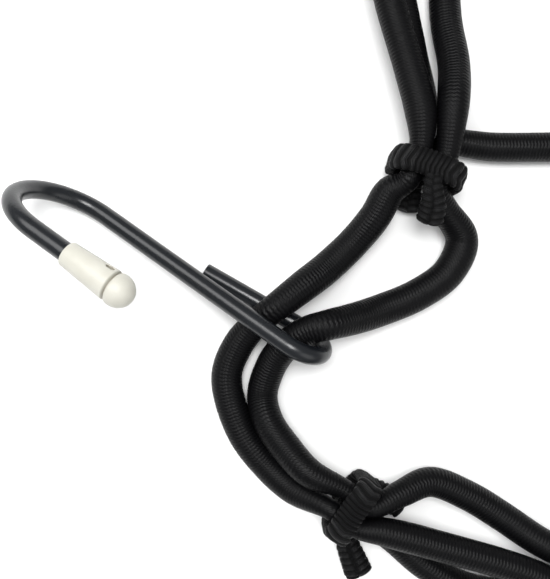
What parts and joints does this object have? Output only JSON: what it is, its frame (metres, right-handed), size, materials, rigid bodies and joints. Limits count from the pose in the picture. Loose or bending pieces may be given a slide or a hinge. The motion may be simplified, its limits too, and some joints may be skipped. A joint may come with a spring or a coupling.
{
  "type": "cargo net with wire hooks",
  "caption": "Slack cargo net of black elastic cord: square meshes inside a doubled border, held at the crossings by coarse braided ties, with capped wire hooks threaded on the border.",
  "frame": {"origin": "on the floor, under the middle of the lying net's box", "axes": "+X along the rows, +Y along the columns, +Z up; the picture's camera looks straight down with +Y up in the picture"},
  "size_m": [0.4392, 0.476, 0.0395],
  "materials": {
    "cord": "braided polyester sheath, satin black, fine transverse ribs",
    "tie": "coarse braided black strap, matte",
    "wire": "dark slate plastic coating, semi-gloss",
    "cap": "smooth ivory plastic"
  },
  "bodies": {
    "root": {"border_outer": "cord", "border_inner": "cord", "row_cord": "cord", "column_cord_1": "cord", "column_cord_2": "cord", "tie_00": "tie", "tie_10": "tie", "tie_20": "tie", "tie_30": "tie", "tie_31": "tie", "tie_32": "tie", "tie_33": "tie", "tie_23": "tie", "tie_13": "tie", "tie_03": "tie", "tie_02": "tie", "tie_01": "tie", "tie_11": "tie", "tie_21": "tie", "tie_12": "tie", "tie_22": "tie", "hook_1": "wire", "hook_2": "wire", "hook_3": "wire", "hook_4": "wire", "hook_5": "wire", "hook_6": "wire", "cap_1": "cap", "cap_2": "cap", "cap_3": "cap", "cap_4": "cap", "cap_5": "cap", "cap_6": "cap"}
  },
  "joints": []
}
